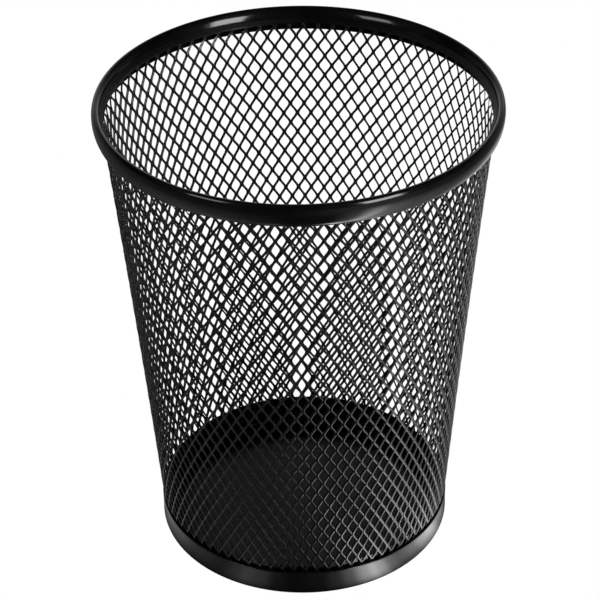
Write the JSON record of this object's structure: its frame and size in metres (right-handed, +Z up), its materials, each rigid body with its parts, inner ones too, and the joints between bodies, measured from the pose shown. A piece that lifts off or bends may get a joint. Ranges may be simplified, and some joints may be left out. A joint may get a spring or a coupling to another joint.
{
  "type": "wastebasket",
  "caption": "Round tapered wastebasket of expanded steel mesh, with a rolled oval rim collar, a smooth base band and a flat pressed floor.",
  "frame": {"origin": "centre of the foot, on the ground plane", "axes": "+Z up along the basket's axis; the basket is turned about it, so X and Y are alike"},
  "size_m": [0.2916, 0.2916, 0.3629],
  "materials": {
    "mesh_enamel": "black powder coat over expanded steel, semi-gloss",
    "rim_enamel": "black enamel on rolled steel strip, glossy with soft reflections",
    "band_enamel": "black enamel on smooth steel, glossy with soft reflections",
    "pan_enamel": "black enamel on pressed steel, semi-gloss"
  },
  "bodies": {
    "root": {"mesh_wall": "mesh_enamel", "rim_collar": "rim_enamel", "base_band": "band_enamel", "bottom_pan": "pan_enamel"}
  },
  "joints": []
}
